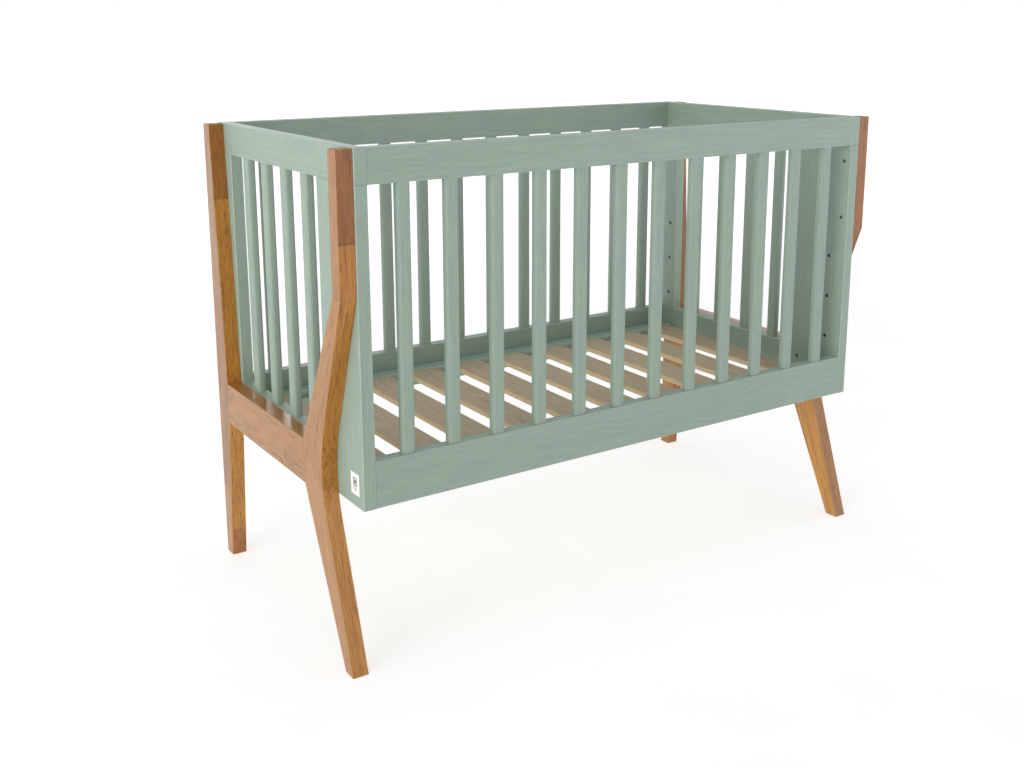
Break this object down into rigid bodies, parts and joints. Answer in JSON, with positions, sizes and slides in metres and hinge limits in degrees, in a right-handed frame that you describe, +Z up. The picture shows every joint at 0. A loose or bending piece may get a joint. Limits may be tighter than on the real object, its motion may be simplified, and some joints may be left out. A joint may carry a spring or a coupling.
{
  "type": "baby crib",
  "caption": "Rectangular slatted baby crib painted sage green, in a hardwood leg frame with kinked front legs, and a slatted mattress base that sets to several heights.",
  "frame": {"origin": "on the floor, under the middle of the crib", "axes": "+X along the crib's length, -Y towards the front side, +Z up"},
  "size_m": [1.319, 0.655, 0.968],
  "materials": {
    "sage_painted_wood": "satin paint over visible grain",
    "oiled_hardwood": "oiled, finger-jointed",
    "bare_pine": "planed, unfinished",
    "beech_dowels": "raw",
    "zinc_plated_steel": "zinc plated",
    "die_cast_zinc": "as cast",
    "label_film": "matt printed film"
  },
  "bodies": {
    "crib_frame": {"base_inserts": "zinc_plated_steel", "base_support_pins": "zinc_plated_steel", "cam_bolts": "zinc_plated_steel", "cam_locks": "die_cast_zinc", "care_label": "label_film", "dowels": "beech_dowels", "front_bottom_rail": "sage_painted_wood", "front_slat_01": "sage_painted_wood", "front_slat_02": "sage_painted_wood", "front_slat_03": "sage_painted_wood", "front_slat_04": "sage_painted_wood", "front_slat_05": "sage_painted_wood", "front_slat_06": "sage_painted_wood", "front_slat_07": "sage_painted_wood", "front_slat_08": "sage_painted_wood", "front_slat_09": "sage_painted_wood", "front_slat_10": "sage_painted_wood", "front_slat_11": "sage_painted_wood", "front_slat_12": "sage_painted_wood", "front_top_rail": "sage_painted_wood", "left_cross_rail": "oiled_hardwood", "left_end_bottom_rail": "sage_painted_wood", "left_end_slats": "sage_painted_wood", "left_end_top_rail": "sage_painted_wood", "left_front_leg": "oiled_hardwood", "left_front_post": "oiled_hardwood", "left_front_stile": "sage_painted_wood", "left_rear_leg": "oiled_hardwood", "left_rear_stile": "sage_painted_wood", "leg_screws": "zinc_plated_steel", "rear_bottom_rail": "sage_painted_wood", "rear_slat_01": "sage_painted_wood", "rear_slat_02": "sage_painted_wood", "rear_slat_03": "sage_painted_wood", "rear_slat_04": "sage_painted_wood", "rear_slat_05": "sage_painted_wood", "rear_slat_06": "sage_painted_wood", "rear_slat_07": "sage_painted_wood", "rear_slat_08": "sage_painted_wood", "rear_slat_09": "sage_painted_wood", "rear_slat_10": "sage_painted_wood", "rear_slat_11": "sage_painted_wood", "rear_slat_12": "sage_painted_wood", "rear_top_rail": "sage_painted_wood", "right_cross_rail": "oiled_hardwood", "right_end_bottom_rail": "sage_painted_wood", "right_end_slats": "sage_painted_wood", "right_end_top_rail": "sage_painted_wood", "right_front_leg": "oiled_hardwood", "right_front_post": "oiled_hardwood", "right_front_stile": "sage_painted_wood", "right_rear_leg": "oiled_hardwood", "right_rear_stile": "sage_painted_wood"},
    "mattress_base": {"base_front_rail": "sage_painted_wood", "base_rear_rail": "sage_painted_wood", "base_slat_screws": "zinc_plated_steel", "base_slats": "bare_pine"}
  },
  "joints": [
    {"name": "base_height", "type": "slide", "parent": "crib_frame", "child": "mattress_base", "axis": [0, 0, 1], "range_m": [0, 0.288]}
  ]
}
